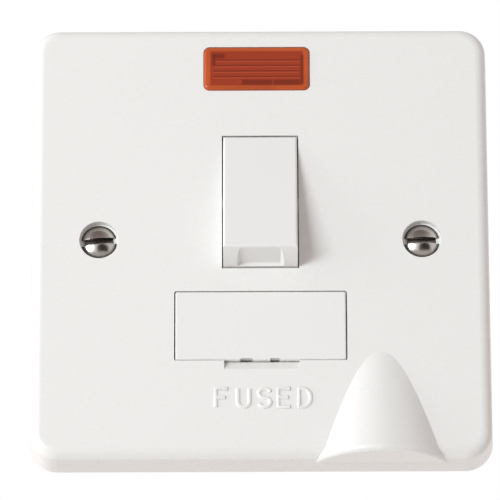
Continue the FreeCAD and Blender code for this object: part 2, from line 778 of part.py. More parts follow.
def live_link():
    """Strap from the live blade's cradle down to the supply side fuse clip."""
    out = LINK_X + LINK_WIDTH / 2
    low, high = CARRIER_Z - STRAP_WIDTH / 2, CARRIER_Z + STRAP_WIDTH / 2
    head = strap(POLE_X - cradle_edge(), out, ROCKER_Z - STRAP_WIDTH / 2, ROCKER_Z + STRAP_WIDTH / 2)
    leg = strap(LINK_X - LINK_WIDTH / 2, out, low, ROCKER_Z)
    foot = strap(clip_x() - CLIP_WIDTH / 2, out, low, high)
    return joined([head, leg, foot] + lugs(1))


def load_live_terminal():
    """Block and strap to the load side fuse clip."""
    x, z = -TERMINAL_X, TERMINAL_ROWS[2]
    out = LINK_X + LINK_WIDTH / 2
    low, high = CARRIER_Z - STRAP_WIDTH / 2, CARRIER_Z + STRAP_WIDTH / 2
    head = strap(-out, x - TERMINAL_WIDTH / 2, z - STRAP_WIDTH / 2, z + STRAP_WIDTH / 2)
    leg = strap(-(LINK_X - LINK_WIDTH / 2), -out, low, z + STRAP_WIDTH / 2)
    foot = strap(-(clip_x() - CLIP_WIDTH / 2), -out, low, high)
    return joined([pillar(x, z), head, leg, foot]).cut(screw_hole(x, z))


def earth_terminal():
    """Two blocks on one strap."""
    x = TERMINAL_X
    low, high = TERMINAL_ROWS[2], TERMINAL_ROWS[1]
    half = TERMINAL_WIDTH / 2
    bar = strap(x - half, x + half, low - TERMINAL_HEIGHT / 2, high + TERMINAL_HEIGHT / 2)
    return joined([pillar(x, low), pillar(x, high), bar]).cut([screw_hole(x, low), screw_hole(x, high)])


def slotted_screw(x, z, radius, tip, seat, head_r, head):
    """A cheese head screw driven from the back, its tip towards the front."""
    shank = rod(x, z, radius, tip, seat)
    top = rod(x, z, head_r, seat, seat + head)
    top = top.makeChamfer(SCREW_EDGE, edges_at(top, seat + head))
    groove = block(x, z, 3 * head_r, SCREW_SLOT_WIDTH, seat + head - SCREW_SLOT_DEPTH, seat + head + PAST)
    return joined([shank, top]).cut(groove)


def terminal_screws():
    """Backed out so far that each wire bore is free."""
    bore_back = STRAP_LEVEL - TERMINAL_BORE_RISE + TERMINAL_BORE_R
    tip = bore_back + TERMINAL_SCREW_CLEARANCE
    seat = tip + TERMINAL_SCREW_LENGTH
    screws = []
    for x, z in terminal_places():
        screws.append(
            slotted_screw(x, z, TERMINAL_SCREW_R, tip, seat, TERMINAL_SCREW_HEAD_R, TERMINAL_SCREW_HEAD)
        )
    return group(screws)


def housing_screws():
    screws = []
    tip = HOUSING_BOSS_BACK - HOUSING_SCREW_BITE
    for x, z in housing_screw_places():
        screws.append(
            slotted_screw(
                x, z, HOUSING_SCREW_R, tip, HOUSING_SCREW_SEAT, HOUSING_SCREW_HEAD_R, HOUSING_SCREW_HEAD
            )
        )
    return group(screws)


def housing_outline():
    """The housing's outline: wide at the terminals, with ears at the low screws, narrow at the fuse."""
    wall = WELL_WALL + CHAMBER_CLEARANCE + HOUSING_WALL
    half, low_half = HOUSING_HALF_WIDTH, carrier_width() / 2 + wall
    foot = CARRIER_Z - carrier_height() / 2 - wall
    ear_half = low_screw_x() + HOUSING_SCREW_HEAD_R + HOUSING_SCREW_GAP + HOUSING_EAR_WALL
    ear_low = HOUSING_SCREWS_LOW_Z - HOUSING_EAR_FOOT
    ear_high = HOUSING_SCREWS_LOW_Z + HOUSING_EAR_FOOT
    upper = box(-half, half, SKIN_BACK, HOUSING_BACK, ear_high - PAST, housing_top())
    ears = box(-ear_half, ear_half, SKIN_BACK, HOUSING_BACK, ear_low, ear_high)
    lower = box(-low_half, low_half, SKIN_BACK, HOUSING_BACK, foot, ear_low + PAST)
    return upper.fuse([ears, lower]).removeSplitter()


def housing_top():
    return TERMINAL_ROWS[0] + TERMINAL_HEIGHT / 2 + POCKET_CLEARANCE + HOUSING_WALL


def neon_tongue():
    """The flap of the housing that closes the neon's pocket, and the room cut for the pocket."""
    grow = LENS_FLANGE + NEON_POCKET_GAP + NEON_POCKET_WALL
    half = LENS_WIDTH / 2 + grow + CHAMBER_CLEARANCE
    left, right = LENS_X - half, LENS_X + half
    low = LENS_Z - LENS_HEIGHT / 2 - grow - CHAMBER_CLEARANCE
    high = LENS_Z + LENS_HEIGHT / 2 + grow
    room = box(left, right, SKIN_BACK - PAST, NEON_POCKET_BACK, low, high)
    flap_back = NEON_POCKET_BACK + NEON_TONGUE
    inset = 2 * CHAMBER_CLEARANCE
    flap = box(left + inset, right - inset, NEON_POCKET_BACK, flap_back, low, high)
    return flap, room


def deep_box(x0, x1, z0, z1):
    """A pocket from the housing's front down to its floor."""
    return box(min(x0, x1), max(x0, x1), SKIN_BACK - PAST, FLOOR, z0, z1)


def terminal_pockets():
    """Pockets for the blocks, screw ways, wire entries and the coring between the blocks."""
    width = TERMINAL_WIDTH + 2 * POCKET_CLEARANCE
    height = TERMINAL_HEIGHT + 2 * POCKET_CLEARANCE
    bore_y = STRAP_LEVEL - TERMINAL_BORE_RISE
    cuts = []
    for x, z in terminal_places():
        side = 1 if x > 0 else -1
        cuts.append(deep_box(x - width / 2, x + width / 2, z - height / 2, z + height / 2))
        cuts.append(rod(x, z, CHIMNEY_BORE_R, FLOOR - PAST, CHIMNEY_BACK + PAST))
        x0, x1 = sorted((x, side * (HOUSING_HALF_WIDTH + PAST)))
        cuts.append(rod_x(bore_y, z, WIRE_ENTRY_R, x0, x1))
    half = TERMINAL_WIDTH / 2 - POCKET_CLEARANCE
    for side in (-1, 1):
        x0, x1 = side * TERMINAL_X - half, side * TERMINAL_X + half
        for high, low in zip(TERMINAL_ROWS, TERMINAL_ROWS[1:]):
            top, foot = high - height / 2 - CORE_WALL, low + height / 2 + CORE_WALL
            cuts.append(deep_box(x0, x1, foot, top))
    x0 = TERMINAL_X - width / 2
    cuts.append(deep_box(x0, x0 + width, TERMINAL_ROWS[2], TERMINAL_ROWS[1]))
    return cuts


def strap_channels():
    """Ways through the inner walls for the straps, a little wider than each strap."""
    half = STRAP_WIDTH / 2 + STRAP_CLEARANCE
    near = LINK_X - LINK_WIDTH / 2 - STRAP_CLEARANCE
    far = LINK_X + LINK_WIDTH / 2 + STRAP_CLEARANCE
    chamber = ROCKER_APERTURE_WIDTH / 2 + WELL_WALL
    pocket = TERMINAL_X - TERMINAL_WIDTH / 2
    contact_z = button_meeting()[1]
    top_z, mid_z, low_z = TERMINAL_ROWS
    cuts = []
    for side in (-1, 1):
        cuts.append(deep_box(side * near, side * far, contact_z - half, top_z + half))
        cuts.append(deep_box(side * near, side * pocket, top_z - half, top_z + half))
        cuts.append(deep_box(side * chamber, side * far, contact_z - half, contact_z + half))
        cuts.append(deep_box(side * chamber, side * far, ROCKER_Z - half, ROCKER_Z + half))
    cuts.append(deep_box(near, far, CARRIER_Z, ROCKER_Z + half))
    cuts.append(deep_box(-pocket, -chamber, ROCKER_Z - half, mid_z + half))
    outer = TERMINAL_X + TERMINAL_WIDTH / 2 + POCKET_CLEARANCE
    cuts.append(deep_box(-outer, -pocket, ROCKER_Z - half, mid_z))
    cuts.append(deep_box(-far, -near, CARRIER_Z, low_z + half))
    cuts.append(deep_box(-pocket, -near, low_z - half, low_z + half))
    return cuts


def lead_slots():
    """Shallow slots in the housing's front for the neon's two leads."""
    front, back = SKIN_BACK - PAST, LEAD_Y + LEAD_SLOT
    half = LEAD_SLOT / 2
    cuts = []
    for z, reach in ((TERMINAL_ROWS[1], TERMINAL_X), (lead_level(), LINK_X)):
        cuts.append(box(-HOUSING_HALF_WIDTH - PAST, -reach, front, back, z - half, z + half))
    low = TERMINAL_ROWS[2] - LEAD_SLOT
    cuts.append(box(-LINK_X - half, -LINK_X + half, front, back, low, lead_level()))
    return cuts


def housing_screw_ways():
    cuts = []
    shank_r = HOUSING_SCREW_R + HOUSING_SCREW_GAP
    head_r = HOUSING_SCREW_HEAD_R + HOUSING_SCREW_GAP
    for x, z in housing_screw_places():
        cuts.append(rod(x, z, HOUSING_BOSS_R + CHAMBER_CLEARANCE, SKIN_BACK - PAST, HOUSING_BOSS_BACK))
        cuts.append(rod(x, z, shank_r, SKIN_BACK, HOUSING_BACK))
        cuts.append(rod(x, z, head_r, HOUSING_SCREW_SEAT, HOUSING_BACK + PAST))
    return cuts


def rear_housing():
    flap, neon_room = neon_tongue()
    shell = housing_outline().cut(neon_room)
    added = [flap]
    for x, z in terminal_places():
        added.append(rod(x, z, CHIMNEY_BORE_R + CHIMNEY_WALL, HOUSING_BACK - PAST, CHIMNEY_BACK))
    shell = shell.fuse(added)
    grow = WELL_WALL + CHAMBER_CLEARANCE
    wells = [switch_well(grow, SKIN_BACK - PAST, FLOOR), fuse_well(grow, SKIN_BACK - PAST, FLOOR)]
    shell = shell.cut(wells + terminal_pockets() + strap_channels())
    reach = ROCKER_APERTURE_HEIGHT + 2 * grow + HOUSING_WALL
    barrier = block(0, ROCKER_Z, POLE_BARRIER, reach, FLOOR - POLE_BARRIER_HEIGHT, FLOOR + HOUSING_WALL / 2)
    shell = shell.fuse(barrier)
    return shell.cut(housing_screw_ways() + lead_slots()).removeSplitter()


def clip_x():
    return FUSE_LENGTH / 2 - FUSE_CAP_LENGTH / 2


def fuse_clip(side):
    """A U of springy strip, open to the front, that an end cap slides into."""
    x = side * clip_x()
    x0, x1 = x - CLIP_WIDTH / 2, x + CLIP_WIDTH / 2
    inner = FUSE_CAP_R + CLIP_CLEARANCE
    outer = inner + CLIP_THICK
    y, z = FUSE_Y, CARRIER_Z
    mouth = y - CLIP_JAW
    body = rod_x(y, z, outer, x0, x1).fuse(box(x0, x1, mouth, y, z - outer, z + outer))
    body = body.fuse(box(x0, x1, y, STRAP_LEVEL, z - CLIP_FOOT / 2, z + CLIP_FOOT / 2))
    body = body.cut([rod_x(y, z, inner, x0, x1), box(x0, x1, y - outer - PAST, y, z - inner, z + inner)])
    body = body.common(box(x0, x1, mouth, STRAP_LEVEL, z - 2 * outer, z + 2 * outer))
    lips = []
    for end in (-1, 1):
        lips.append(
            prism_x(
                [
                    (mouth, z + end * inner),
                    (mouth, z + end * outer),
                    (mouth - CLIP_LIP, z + end * (outer + CLIP_SPLAY)),
                    (mouth - CLIP_LIP, z + end * (inner + CLIP_SPLAY)),
                ],
                x0, x1,
            )
        )
    return joined([body] + lips)


def fuse_barrel():
    half = FUSE_LENGTH / 2 - FUSE_CAP_WALL
    return rod_x(FUSE_Y, CARRIER_Z, FUSE_CAP_R - FUSE_CAP_WALL, -half, half)


def fuse_caps():
    caps = []
    for side in (-1, 1):
        end = side * FUSE_LENGTH / 2
        x0, x1 = sorted((end, end - side * FUSE_CAP_LENGTH))
        cap = rod_x(FUSE_Y, CARRIER_Z, FUSE_CAP_R, x0, x1)
        rim = [e for e in cap.Edges if abs(e.BoundBox.XMin - end) < NEAR and e.BoundBox.XLength < NEAR]
        cap = cap.makeChamfer(FUSE_CAP_EDGE, rim)
        x0, x1 = sorted((end - side * FUSE_CAP_WALL, end - side * (FUSE_CAP_LENGTH + PAST)))
        caps.append(cap.cut(rod_x(FUSE_Y, CARRIER_Z, FUSE_CAP_R - FUSE_CAP_WALL, x0, x1)))
    return group(caps)


def fuse_carrier():
    z = CARRIER_Z
    face_back = FACE + CARRIER_FACE
    face = round_block(0, z, CARRIER_WIDTH, CARRIER_HEIGHT, FACE, face_back, SMALL_CORNER)
    face = face.makeFillet(CARRIER_EDGE, edges_at(face, FACE))
    low = z - CARRIER_HEIGHT / 2
    for x0, x1 in (TAB_GAP_LEFT, TAB_GAP_RIGHT):
        middle = (TAB_GAP_LEFT[1] + TAB_GAP_RIGHT[0]) / 2
        left = TAB_GAP_SLANT if x0 < middle else 0.0
        right = 0.0 if x0 < middle else TAB_GAP_SLANT
        corners = [
            V(x0, FACE - PAST, low - CARRIER_GAP_END),
            V(x1, FACE - PAST, low - CARRIER_GAP_END),
            V(x1 - right, FACE - PAST, low + TAB_GAP_HEIGHT),
            V(x0 + left, FACE - PAST, low + TAB_GAP_HEIGHT),
        ]
        gap = Part.Face(Part.makePolygon(corners + corners[:1])).extrude(V(0, CARRIER_FACE + 2 * PAST, 0))
        face = face.cut(gap)
    wing_x = CARRIER_WIDTH / 2 - CARRIER_WING_INSET - CARRIER_WING / 2
    parts = [face]
    for side in (-1, 1):
        wing = block(side * wing_x, z, CARRIER_WING, CARRIER_WING_HEIGHT, face_back - PAST, CARRIER_BACK)
        parts.append(wing)
    stem = block(0, z, CARRIER_STEM_WIDTH, CARRIER_STEM_HEIGHT, face_back - PAST, CARRIER_BACK)
    grip = FUSE_CAP_R - FUSE_CAP_WALL + CARRIER_GRIP_GAP
    reach = CARRIER_STEM_WIDTH
    stem = stem.cut(rod_x(FUSE_Y, z, grip, -reach, reach))
    mouth = box(-reach, reach, FUSE_Y, CARRIER_BACK + PAST, z - CARRIER_MOUTH, z + CARRIER_MOUTH)
    stem = stem.cut(mouth)
    window_height = CARRIER_STEM_HEIGHT - 2 * CARRIER_STEM_WALL
    window = block(0, z, 2 * reach, window_height, face_back, FUSE_Y - grip - CARRIER_STEM_WALL)
    web = block(0, z, CARRIER_STEM_WALL, CARRIER_STEM_HEIGHT, face_back - PAST, FUSE_Y - grip)
    parts.append(stem.cut(window).fuse(web))
    return joined(parts)


def neon_lens():
    """A clear amber window with a rounded front edge, hollow behind and grooved inside."""
    width, height = LENS_WIDTH - 2 * LENS_GAP, LENS_HEIGHT - 2 * LENS_GAP
    front = FACE - LENS_PROUD
    body = round_block(LENS_X, LENS_Z, width, height, front, SKIN_BACK, LENS_CORNER - LENS_GAP)
    body = body.makeFillet(LENS_ROUND, edges_at(body, front))
    flange_back = SKIN_BACK + LENS_FLANGE_THICK
    flange = block(
        LENS_X, LENS_Z, LENS_WIDTH + 2 * LENS_FLANGE, LENS_HEIGHT + 2 * LENS_FLANGE, SKIN_BACK, flange_back
    )
    body = joined([body, flange])
    room_w, room_h = width - 2 * LENS_WALL_SIDE, height - 2 * LENS_WALL_TOP
    room_front = front + LENS_FRONT_WALL
    cuts = [block(LENS_X, LENS_Z, room_w, room_h, room_front, flange_back + PAST)]
    reach = room_w / 2 - LENS_GROOVE_INSET
    half = LENS_GROOVE_WIDTH / 2
    for i in range(LENS_GROOVES):
        z = LENS_Z + LENS_GROOVE_PITCH * (i - (LENS_GROOVES - 1) / 2)
        groove = [(room_front, z - half), (room_front - LENS_GROOVE_DEPTH, z), (room_front, z + half)]
        cuts.append(prism_x(groove, LENS_X - reach, LENS_X + reach))
    return body.cut(cuts)


def neon_lamp():
    half = LAMP_LENGTH / 2
    tube = rod_x(LAMP_Y, LENS_Z, LAMP_R, LENS_X - half, LENS_X + half)
    tube = tube.makeChamfer(LAMP_SHOULDER, [e for e in tube.Edges if e.BoundBox.XLength < NEAR])
    wide, narrow = LAMP_PIP_R
    pip = Part.makeCone(wide, narrow, LAMP_PIP, V(LENS_X + half, LAMP_Y, LENS_Z), V(1, 0, 0))
    return joined([tube, pip])


def neon_resistor():
    x0 = RESISTOR_X - RESISTOR_LENGTH / 2
    body = rod_x(LEAD_Y, RESISTOR_Z, RESISTOR_R, x0, x0 + RESISTOR_LENGTH)
    return body.makeChamfer(RESISTOR_EDGE, [e for e in body.Edges if e.BoundBox.XLength < NEAR])


def bent_wire(points, radius, bend):
    """A round wire along straight runs joined by tangent arcs."""
    edges = []
    start = points[0]
    for before, corner, after in zip(points, points[1:], points[2:]):
        into = (corner - before).normalize()
        out = (after - corner).normalize()
        turn = into.getAngle(out)
        trim = bend * math.tan(turn / 2)
        a = corner - into * trim
        b = corner + out * trim
        inward = (out - into).normalize()
        middle = corner + inward * (bend / math.cos(turn / 2) - bend)
        edges.append(Part.LineSegment(start, a).toShape())
        edges.append(Part.Arc(a, middle, b).toShape())
        start = b
    edges.append(Part.LineSegment(start, points[-1]).toShape())
    path = Part.Wire(edges)
    heading = (points[1] - points[0]).normalize()
    section = Part.Wire(Part.makeCircle(radius, points[0], heading))
    return path.makePipeShell([section], True, False)


def lead_level():
    """Height at which the live lead crosses into the housing, between two terminals."""
    return (TERMINAL_ROWS[0] + TERMINAL_ROWS[1]) / 2


def neon_leads():
    """One lead to the load neutral, and one through the resistor to the load live strap."""
    start = LENS_X - LAMP_LENGTH / 2
    y = LEAD_Y
    inner_x = -(HOUSING_HALF_WIDTH + LEAD_PITCH)
    outer_x = inner_x - LEAD_PITCH
    block_x = -(TERMINAL_X + TERMINAL_WIDTH / 2 - LEAD_PITCH)
    block_y = STRAP_LEVEL - TERMINAL_DEPTH
    up, down = LENS_Z + LEAD_PITCH / 2, LENS_Z - LEAD_PITCH / 2
    near_x = RESISTOR_X + RESISTOR_LENGTH / 2
    far_x = RESISTOR_X - RESISTOR_LENGTH / 2
    row = TERMINAL_ROWS[1]
    neutral = bent_wire(
        [
            V(start, y, up),
            V(outer_x, y, up),
            V(outer_x, y, row),
            V(block_x, y, row),
            V(block_x, block_y, row),
        ],
        LEAD_R, LEAD_BEND,
    )
    near = bent_wire(
        [
            V(start, y, down),
            V(start - LEAD_JOG, y, down),
            V(near_x + LEAD_PITCH, y, RESISTOR_Z),
            V(near_x, y, RESISTOR_Z),
        ],
        LEAD_R, LEAD_JOG_BEND,
    )
    far = bent_wire(
        [
            V(far_x, y, RESISTOR_Z),
            V(inner_x, y, RESISTOR_Z),
            V(inner_x, y, lead_level()),
            V(-LINK_X, y, lead_level()),
            V(-LINK_X, y, TERMINAL_ROWS[2]),
            V(-LINK_X, STRAP_LEVEL, TERMINAL_ROWS[2]),
        ],
        LEAD_R, LEAD_BEND,
    )
    return group([neutral, near, far])


def fixing_screws():
    """Raised countersunk screws with one slot each."""
    screws = []
    rim = FACE + FIX_SINK
    tip = rim + FIX_LENGTH
    cone_depth = FIX_HEAD_R - FIX_NECK_R
    sphere_r = (FIX_HEAD_R ** 2 + FIX_DOME ** 2) / (2 * FIX_DOME)
    for side in (-1, 1):
        x = side * FIX_X
        dome = Part.makeSphere(sphere_r, V(x, rim - FIX_DOME + sphere_r, 0))
        dome = dome.common(rod(x, 0, FIX_HEAD_R, rim - FIX_DOME - PAST, rim))
        head = cone(x, 0, FIX_HEAD_R, FIX_NECK_R, rim, rim + cone_depth)
        neck = rod(x, 0, FIX_NECK_R, rim, 0)
        thread = rod(x, 0, FIX_THREAD_R, 0, tip - FIX_POINT)
        point = cone(x, 0, FIX_THREAD_R, FIX_THREAD_R - FIX_POINT_INSET, tip - FIX_POINT, tip)
        screw = joined([dome, head, neck, thread, point])
        slot_top = rim - FIX_DOME
        slot = block(x, 0, 3 * FIX_HEAD_R, FIX_SLOT_WIDTH, slot_top - PAST, slot_top + FIX_SLOT_DEPTH)
        slot.rotate(V(x, 0, 0), BACK, FIX_SLOT_TURN)
        screws.append(screw.cut(slot))
    return group(screws)


def cord_clamp():
    """A bridge over the flex, with two ears, an arched underside and two grip ridges."""
    z0, z1 = CLAMP_Z - CLAMP_HEIGHT / 2, CLAMP_Z + CLAMP_HEIGHT / 2
    seat, back = CLAMP_SEAT, CLAMP_SEAT + CLAMP_THICK
    half = CLAMP_SPACING / 2
    far = seat + CLAMP_ARCH_R + CLAMP_ARCH_WALL
    axis_y = seat - CLAMP_ARCH_DROP
    crown = upright_rod(HOOD_X, axis_y, CLAMP_ARCH_R + CLAMP_ARCH_WALL, z0, z1)
    parts = [
        box(HOOD_X - half, HOOD_X + half, seat, back, z0, z1),
        crown.common(box(HOOD_X - half, HOOD_X + half, seat, far, z0, z1)),
    ]
    for x, z in clamp_places():
        parts.append(rod(x, z, CLAMP_EAR_R, seat, back))
    bar = joined(parts).cut(upright_rod(HOOD_X, axis_y, CLAMP_ARCH_R, z0 - PAST, z1 + PAST))
    ridge_parts = [bar]
    for z in (CLAMP_Z - CLAMP_RIDGE_SPREAD, CLAMP_Z + CLAMP_RIDGE_SPREAD):
        low, high = z - CLAMP_RIDGE_WIDTH / 2, z + CLAMP_RIDGE_WIDTH / 2
        ring = upright_rod(HOOD_X, axis_y, CLAMP_ARCH_R + CLAMP_ARCH_WALL / 2, low, high)
        ring = ring.cut(upright_rod(HOOD_X, axis_y, CLAMP_ARCH_R - CLAMP_RIDGE, low, high))
        middle = box(HOOD_X - CLAMP_RIDGE_HALF, HOOD_X + CLAMP_RIDGE_HALF, seat, far, low, high)
        ridge_parts.append(ring.common(middle))
    hole_r = CLAMP_SCREW_R + CLAMP_HOLE_CLEARANCE
    return joined(ridge_parts).cut([rod(x, z, hole_r, seat - PAST, back + PAST) for x, z in clamp_places()])


def cord_clamp_screws():
    screws = []
    seat = CLAMP_SEAT + CLAMP_THICK
    for x, z in clamp_places():
        screws.append(
            slotted_screw(
                x, z, CLAMP_SCREW_R, CLAMP_SEAT - CLAMP_SCREW_BITE, seat,
                CLAMP_SCREW_HEAD_R, CLAMP_SCREW_HEAD,
            )
        )
    return group(screws)


NODES = {
    "front_plate": front_plate,
    "rear_housing": rear_housing,
    "housing_screws": housing_screws,
    "fixing_screws": fixing_screws,
    "rocker": rocker,
    "plunger_live": lambda: plunger(1),
    "plunger_neutral": lambda: plunger(-1),
    "plunger_spring_live": lambda: plunger_spring(1),
    "plunger_spring_neutral": lambda: plunger_spring(-1),
    "blade_live": lambda: blade(1),
    "blade_neutral": lambda: blade(-1),
    "blade_contact_live": lambda: blade_button(1),
    "blade_contact_neutral": lambda: blade_button(-1),
    "fixed_contact_live": lambda: fixed_button(1),
    "fixed_contact_neutral": lambda: fixed_button(-1),
    "supply_live_terminal": lambda: supply_terminal(1),
    "supply_neutral_terminal": lambda: supply_terminal(-1),
    "load_live_terminal": load_live_terminal,
    "load_neutral_terminal": load_neutral_terminal,
    "earth_terminal": earth_terminal,
    "live_link": live_link,
    "terminal_screws": terminal_screws,
    "fuse_clip_supply": lambda: fuse_clip(1),
    "fuse_clip_load": lambda: fuse_clip(-1),
    "fuse_carrier": fuse_carrier,
    "fuse_barrel": fuse_barrel,
    "fuse_caps": fuse_caps,
    "neon_lens": neon_lens,
    "neon_lamp": neon_lamp,
    "neon_resistor": neon_resistor,
    "neon_leads": neon_leads,
    "cord_clamp": cord_clamp,
    "cord_clamp_screws": cord_clamp_screws,
}


os.makedirs("parts", exist_ok=True)
for name, make in NODES.items():
    shape = make()
    shape.exportStep("parts/" + name + ".step")
    print(name, len(shape.Solids), shape.isValid(), round(shape.Volume, 1))
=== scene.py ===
import json
import math

import bmesh
import bpy
from mathutils import Matrix, Vector


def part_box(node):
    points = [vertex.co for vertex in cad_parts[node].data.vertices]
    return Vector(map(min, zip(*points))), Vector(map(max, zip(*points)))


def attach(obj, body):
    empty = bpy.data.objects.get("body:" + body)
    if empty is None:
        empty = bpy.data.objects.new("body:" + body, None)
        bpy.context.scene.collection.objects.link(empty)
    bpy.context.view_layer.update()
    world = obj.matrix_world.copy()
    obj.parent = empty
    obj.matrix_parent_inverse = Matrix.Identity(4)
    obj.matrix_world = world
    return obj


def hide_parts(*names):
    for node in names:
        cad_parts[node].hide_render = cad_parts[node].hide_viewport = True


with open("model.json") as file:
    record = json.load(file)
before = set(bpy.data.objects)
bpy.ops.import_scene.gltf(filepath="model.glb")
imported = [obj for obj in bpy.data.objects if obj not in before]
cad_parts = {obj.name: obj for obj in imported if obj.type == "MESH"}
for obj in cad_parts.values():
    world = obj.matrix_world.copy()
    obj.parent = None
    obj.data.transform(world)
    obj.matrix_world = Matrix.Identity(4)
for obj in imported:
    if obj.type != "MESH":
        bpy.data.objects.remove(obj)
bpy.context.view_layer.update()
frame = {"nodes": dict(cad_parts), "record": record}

MM = 0.001
WHITE = (1.0, 1.0, 1.0)

# The camera of the photograph: a long lens, looking up at the plate from below
CAMERA_TILT = math.radians(20.3)
CAMERA_ROLL = math.radians(-0.2)
CAMERA_DISTANCE = 980 * MM
CAMERA_LENS = 375.1
CAMERA_SENSOR = 36.0
CAMERA_SHIFT = (-0.0208, 0.0084)

# Places read from the frame; the fuse carrier's face is level with the plate's
FACE_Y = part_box("fuse_carrier")[0].y
SCREW_LOW, SCREW_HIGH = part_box("fixing_screws")
LENS_MIDDLE = sum(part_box("neon_lens"), Vector()) / 2

# Raised word under the fuse carrier: the outer left edge of each letter and their foot
WORD = "FUSED"
WORD_LEFT = (-8.84 * MM, -4.77 * MM, -0.9 * MM, 2.71 * MM, 6.55 * MM)
WORD_FOOT = -33.5 * MM
LETTER_WIDTH = 3.15 * MM
LETTER_HEIGHT = 4.55 * MM
STROKE_R = 0.5 * MM
STROKE_SUNK = 0.2 * MM
STROKE_STEPS = 3

# Shapes of the letters: shares of their height or width, and where the S ends, in degrees
BAR_HEIGHT = 0.52
F_ARM = 0.8
E_ARM = 0.85
D_STRAIGHT = 0.3
S_END = 20
ARC_STEPS = 16

# Fixing screws, M3.5
SCREW_X = 30.15 * MM
SCREW_HEAD_R = 3.32 * MM
SCREW_SEAT_R = 3.1 * MM
SCREW_SINK = 0.75 * MM
SCREW_DOME = 1.0 * MM
SCREW_EDGE = 0.1 * MM
SCREW_EDGE_BACK = 0.02 * MM
SCREW_EDGE_IN = 0.03 * MM
SCREW_NECK_R = 1.5 * MM
SCREW_ROOT_R = 1.4 * MM
SCREW_CREST_R = 1.75 * MM
SCREW_PITCH = 0.6 * MM
SCREW_POINT = 1.0 * MM
SCREW_POINT_TAPER = 0.7
SCREW_SLOT_WIDTH = 1.15 * MM
SCREW_SLOT_DEPTH = 1.5 * MM
SCREW_SLOT_TURNS = {-1: math.radians(-5), 1: math.radians(-1)}
SCREW_EASE = 0.06 * MM
SCREW_EASE_ANGLE = math.radians(40)
CUTTER_SPARE = 1.0 * MM
SMOOTH_ANGLE = math.radians(35)

# How finely the screws are divided; the dome's rings start at a small share of its radius
DOME_RINGS = 14
DOME_START = 0.04
HEAD_SIDES = 96
THREAD_RINGS = 10
THREAD_SIDES = 48

# Painted shade: the colour of metal is darkened where it lies hidden within a reach of other faces
SLOT_REACH = 1.2 * MM
SLOT_SHADE_COLOUR = (0.10, 0.08, 0.075)
SLOT_OPENNESS = (0.45, 0.85)

# Noise in the materials: cycles per metre, and the part of its range that is spread out
MOULDING_MOTTLE = 60.0
MOULDING_GLOSS = 160.0
METAL_MOTTLE = 220.0
CLEAR_MOTTLE = 120.0
CLEAR_GLOSS = 400.0
LENS_MOTTLE = 90.0
TINT_STRETCH = (0.35, 0.65)
GLOSS_STRETCH = (0.3, 0.7)

# Sockets of a Mix node that mixes colours
MIX_SHARE, MIX_BELOW, MIX_ABOVE, MIX_RESULT = 0, 6, 7, 2

# Lens: its border and colours, and its grooves as shares of its height. Each groove is drawn as
# a painted shade line and a painted highlight line: shift, colour and how much of it
LENS_WIDTH = 20.1 * MM
LENS_HEIGHT = 8.9 * MM
LENS_SIDE = 1.3 * MM
LENS_TOP = 0.95 * MM
LENS_INSET = 0.6 * MM
LENS_BLUR = 0.12 * MM
LENS_RIM = (0.62, 0.110, 0.027)
LENS_RIM_DIM = (0.50, 0.085, 0.024)
LENS_ORANGE = (0.385, 0.048, 0.017)
# Colours of the painted shade and the painted highlight on the lens
LENS_SHADE = (0.17, 0.020, 0.007)
LENS_HIGHLIGHT = (0.55, 0.090, 0.040)
LENS_GROOVES = (0.6875, 0.565, 0.435, 0.308)
LENS_GROOVE = 0.013
GROOVE_SHADE_AND_HIGHLIGHT = ((0.0, LENS_SHADE, 0.75), (-2.2 * LENS_GROOVE, LENS_HIGHLIGHT, 0.6))
GROOVE_BLUR = 0.6

# Painted shadows of the parts seen dimly behind the lens: from left to right and from foot to head
LENS_SHADOWS = (
    ((-9.0 * MM, -6.6 * MM), (36.4 * MM, 37.4 * MM)),
    ((-3.4 * MM, 2.3 * MM), (31.0 * MM, 32.1 * MM)),
    ((2.6 * MM, 7.6 * MM), (31.0 * MM, 32.1 * MM)),
    ((7.7 * MM, 8.3 * MM), (31.2 * MM, 37.2 * MM)),
    ((-9.0 * MM, -8.4 * MM), (34.9 * MM, 37.2 * MM)),
)
LENS_SHADOW_SHARE = 0.7

# Softboxes: direction from the plate, distance, size, power and colour
SOFTBOXES = {
    "key": ((-0.645, -0.763, -0.03), 1.6, (0.8, 0.45), 18.1, (0.905, 0.985, 1.0)),
    "left": ((-1.0, -0.15, 0.05), 1.2, (0.5, 0.9), 4.3, WHITE),
    "below": ((0.1, 0.8, -1.0), 1.3, (0.9, 0.6), 6.3, (1.0, 0.995, 0.985)),
}
NOT_MIRRORED = ("below",)

# Studio walls with darker places: direction, half angle, blur and shade
WALL_LIGHT = 0.84
WALL_COLOUR = (1.0, 0.935, 0.905)
DARK_PLACES = (
    ((0.205, -0.966, -0.156), math.radians(18), math.radians(6), (0.04, 0.03, 0.03)),
    ((-0.09, -0.75, 0.656), math.radians(16), math.radians(22), (0.35, 0.31, 0.31)),
    ((0.0, 0.0, 1.0), math.radians(25), math.radians(45), (0.7, 0.68, 0.68)),
)
FLOOR_Z = -2.0
FLOOR_HALF = 6.0
FLOOR_PARTS = 4


def link(obj):
    bpy.context.scene.collection.objects.link(obj)
    return obj


def mesh_object(name, bm):
    mesh = bpy.data.meshes.new(name)
    bm.to_mesh(mesh)
    bm.free()
    return link(bpy.data.objects.new(name, mesh))


def applied(obj):
    """A mesh object in place of one whose shape comes from modifiers or a curve."""
    graph = bpy.context.evaluated_depsgraph_get()
    mesh = bpy.data.meshes.new_from_object(obj.evaluated_get(graph))
    name = obj.name
    bpy.data.objects.remove(obj)
    return link(bpy.data.objects.new(name, mesh))


def smooth(obj):
    """Smooth faces, with edges kept sharp where the surface turns by more than an angle."""
    mesh = obj.data
    mesh.polygons.foreach_set("use_smooth", [True] * len(mesh.polygons))
    mesh.set_sharp_from_angle(angle=SMOOTH_ANGLE)
    return obj


# Materials

def shader(name):
    material = bpy.data.materials.new(name)
    material.use_nodes = True
    return material, material.node_tree.nodes, material.node_tree.links


